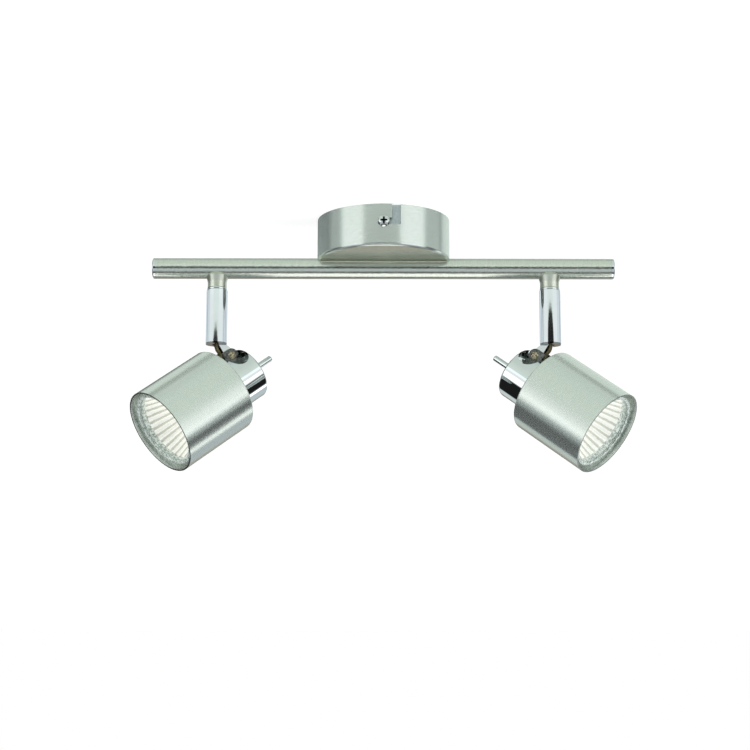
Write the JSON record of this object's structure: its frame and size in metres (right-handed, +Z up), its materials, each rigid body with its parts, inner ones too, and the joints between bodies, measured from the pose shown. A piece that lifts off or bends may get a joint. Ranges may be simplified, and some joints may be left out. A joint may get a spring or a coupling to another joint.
{
  "type": "ceiling spotlight bar",
  "caption": "Ceiling bar light: round canopy, straight tube bar, and cylindrical spot heads with twist-lock reflector lamps that pan and tilt on short chrome arms.",
  "frame": {"origin": "middle of the ceiling plane, at the top face of the mounting bracket and the canopy's open rim", "axes": "+Z up into the ceiling, X along the bar, -Y to the front that the lamps face at rest"},
  "size_m": [0.3219, 0.0921, 0.1658],
  "materials": {
    "satin_nickel": "satin nickel plate, brushed",
    "chrome": "polished chrome plate",
    "zinc_steel": "zinc plated",
    "brass": "plain brass",
    "nylon": "natural nylon",
    "ceramic": "unglazed ceramic, matte and opaque",
    "lead_sleeve": "woven heat-resistant sleeve",
    "earth_sleeve": "insulated lead",
    "mirror_glass": "mirror-coated pressed glass",
    "clear_glass": "clear",
    "capsule_glass": "clear quartz"
  },
  "bodies": {
    "fixture": {"mounting_bracket": "zinc_steel", "canopy": "satin_nickel", "canopy_screws": "chrome", "terminal_block": "nylon", "terminal_screws": "brass", "earth_screw": "brass", "supply_leads": "lead_sleeve", "earth_lead": "earth_sleeve", "bar_tube": "satin_nickel", "end_caps": "chrome", "bar_stud": "brass", "bar_nut": "zinc_steel", "toothed_washer": "zinc_steel", "stud_bush": "nylon", "bar_collars": "satin_nickel", "swivel_studs": "brass", "ring_nuts": "zinc_steel", "pan_stop_pins": "zinc_steel"},
    "left_arm": {"left_swivel_ring": "chrome", "left_arm_tube": "chrome", "left_arm_plug": "chrome", "left_knuckle": "chrome", "left_arm_leads": "lead_sleeve"},
    "left_head": {"left_lamp_housing": "chrome", "left_tilt_fork": "chrome", "left_shade": "satin_nickel", "left_shade_ring": "zinc_steel", "left_handle_rod": "chrome", "left_pivot_screw": "zinc_steel", "left_pivot_nut": "zinc_steel", "left_lampholder": "ceramic", "left_holder_contacts": "brass", "left_holder_screws": "zinc_steel", "left_head_leads": "lead_sleeve"},
    "left_lamp": {"left_lamp_base": "ceramic", "left_lamp_pins": "chrome", "left_lamp_reflector": "mirror_glass", "left_lamp_lens": "clear_glass", "left_lamp_capsule": "capsule_glass"},
    "right_arm": {"right_swivel_ring": "chrome", "right_arm_tube": "chrome", "right_arm_plug": "chrome", "right_knuckle": "chrome", "right_arm_leads": "lead_sleeve"},
    "right_head": {"right_lamp_housing": "chrome", "right_tilt_fork": "chrome", "right_shade": "satin_nickel", "right_shade_ring": "zinc_steel", "right_handle_rod": "chrome", "right_pivot_screw": "zinc_steel", "right_pivot_nut": "zinc_steel", "right_lampholder": "ceramic", "right_holder_contacts": "brass", "right_holder_screws": "zinc_steel", "right_head_leads": "lead_sleeve"},
    "right_lamp": {"right_lamp_base": "ceramic", "right_lamp_pins": "chrome", "right_lamp_reflector": "mirror_glass", "right_lamp_lens": "clear_glass", "right_lamp_capsule": "capsule_glass"}
  },
  "joints": [
    {"name": "left_pan", "type": "hinge", "parent": "fixture", "child": "left_arm", "pos_m": [-0.108, 0, -0.05], "axis": [0, 0, 1], "range_deg": [-165, 165]},
    {"name": "left_tilt", "type": "hinge", "parent": "left_arm", "child": "left_head", "pos_m": [-0.10029, 0.0052, -0.0888], "axis": [0.5592, -0.829, 0], "range_deg": [-29, 55]},
    {"name": "left_lamp_twist", "type": "hinge", "parent": "left_head", "child": "left_lamp", "pos_m": [-0.09254, 0.01043, -0.10215], "axis": [-0.6791, -0.4581, -0.5736], "range_deg": [0, 20]},
    {"name": "right_pan", "type": "hinge", "parent": "fixture", "child": "right_arm", "pos_m": [0.108, 0, -0.05], "axis": [0, 0, 1], "range_deg": [-165, 165]},
    {"name": "right_tilt", "type": "hinge", "parent": "right_arm", "child": "right_head", "pos_m": [0.10011, 0.00493, -0.0888], "axis": [0.5299, 0.848, 0], "range_deg": [-29.5, 54.5]},
    {"name": "right_lamp_twist", "type": "hinge", "parent": "right_head", "child": "right_lamp", "pos_m": [0.09209, 0.00994, -0.10207], "axis": [0.6904, -0.4314, -0.5807], "range_deg": [0, 20]}
  ]
}
